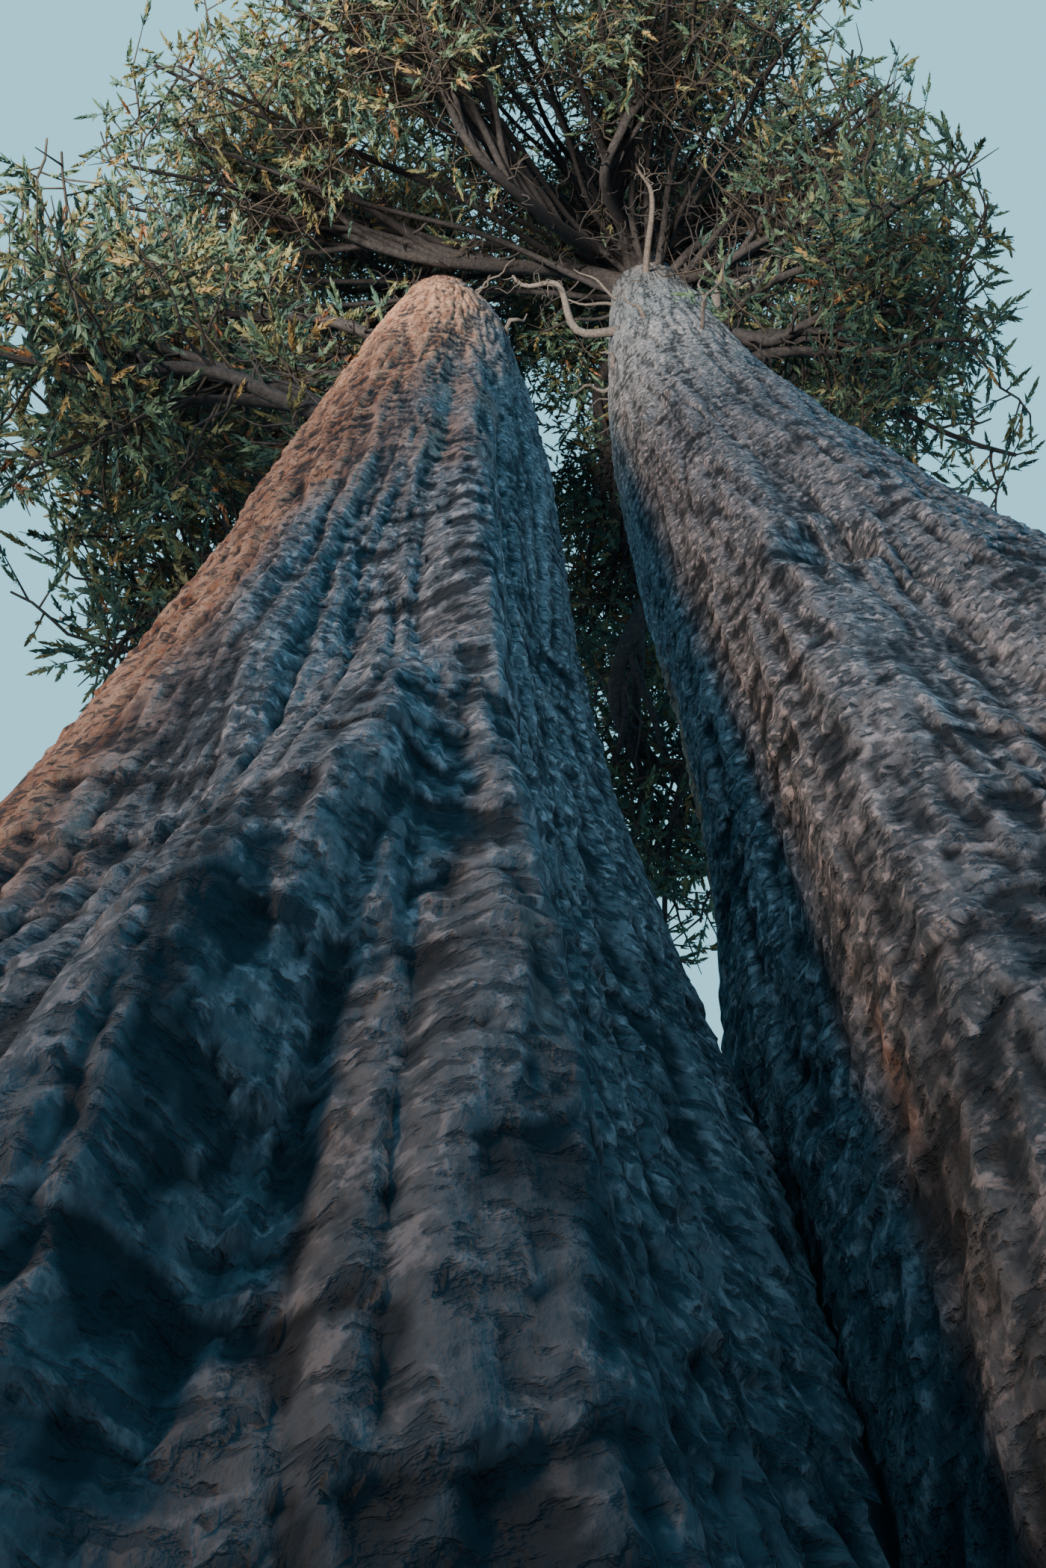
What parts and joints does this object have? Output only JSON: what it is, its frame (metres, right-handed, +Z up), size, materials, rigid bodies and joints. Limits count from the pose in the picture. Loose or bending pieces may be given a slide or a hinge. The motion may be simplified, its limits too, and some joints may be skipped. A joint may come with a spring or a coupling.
{
  "type": "giant sequoia tree",
  "caption": "Tall conifer with twin stems from one flared foot, boughs that radiate from the stems and rounded masses of needle sprays.",
  "frame": {"origin": "on the flat cut at ground level, between the feet of the two stems", "axes": "+Z up the stems; +X from the left stem to the right stem as the picture shows them; +Y away from the picture's viewpoint"},
  "size_m": [11.1417, 11.0627, 39.8036],
  "materials": {
    "stem_bark": "thick fibrous bark, furrowed and shredding, dry and matt",
    "bough_bark": "thin scaly bark, dry and matt",
    "dead_wood": "weathered bare wood, grey and matt",
    "foliage": "scale-like needles in dense sprays, waxy and slightly glossy"
  },
  "bodies": {
    "root": {"left_stem": "stem_bark", "right_stem": "stem_bark", "trunk": "stem_bark", "low_back_bough": "bough_bark", "low_back_left_bough": "bough_bark", "low_left_bough": "bough_bark", "main_back_left_bough": "bough_bark", "main_back_right_bough": "bough_bark", "main_front_left_bough": "bough_bark", "main_front_right_bough": "bough_bark", "main_left_back_bough": "bough_bark", "main_left_front_bough": "bough_bark", "main_right_back_bough": "bough_bark", "main_right_front_bough": "bough_bark", "mid_back_left_bough": "bough_bark", "mid_back_right_bough": "bough_bark", "mid_left_bough": "bough_bark", "mid_right_bough": "bough_bark", "upper_back_left_bough": "bough_bark", "upper_back_right_bough": "bough_bark", "upper_front_left_bough": "bough_bark", "upper_front_right_bough": "bough_bark", "upper_left_back_bough": "bough_bark", "upper_left_front_bough": "bough_bark", "upper_right_back_bough": "bough_bark", "upper_right_front_bough": "bough_bark", "dead_limb_1": "dead_wood", "dead_limb_2": "dead_wood", "dead_limb_3": "dead_wood", "left_tip_foliage": "foliage", "left_top_back_foliage": "foliage", "left_top_front_foliage": "foliage", "low_back_foliage": "foliage", "low_back_left_foliage": "foliage", "low_left_foliage": "foliage", "main_back_left_foliage": "foliage", "main_back_right_foliage": "foliage", "main_front_left_foliage": "foliage", "main_front_right_foliage": "foliage", "main_left_back_foliage": "foliage", "main_left_front_foliage": "foliage", "main_right_back_foliage": "foliage", "main_right_front_foliage": "foliage", "mid_back_left_foliage": "foliage", "mid_back_right_foliage": "foliage", "mid_left_foliage": "foliage", "mid_right_foliage": "foliage", "right_crown_left_foliage": "foliage", "right_crown_right_foliage": "foliage", "right_tip_foliage": "foliage", "right_top_back_foliage": "foliage", "right_top_front_foliage": "foliage", "upper_back_left_foliage": "foliage", "upper_back_right_foliage": "foliage", "upper_front_left_foliage": "foliage", "upper_front_right_foliage": "foliage", "upper_left_back_foliage": "foliage", "upper_left_front_foliage": "foliage", "upper_right_back_foliage": "foliage", "upper_right_front_foliage": "foliage"}
  },
  "joints": []
}
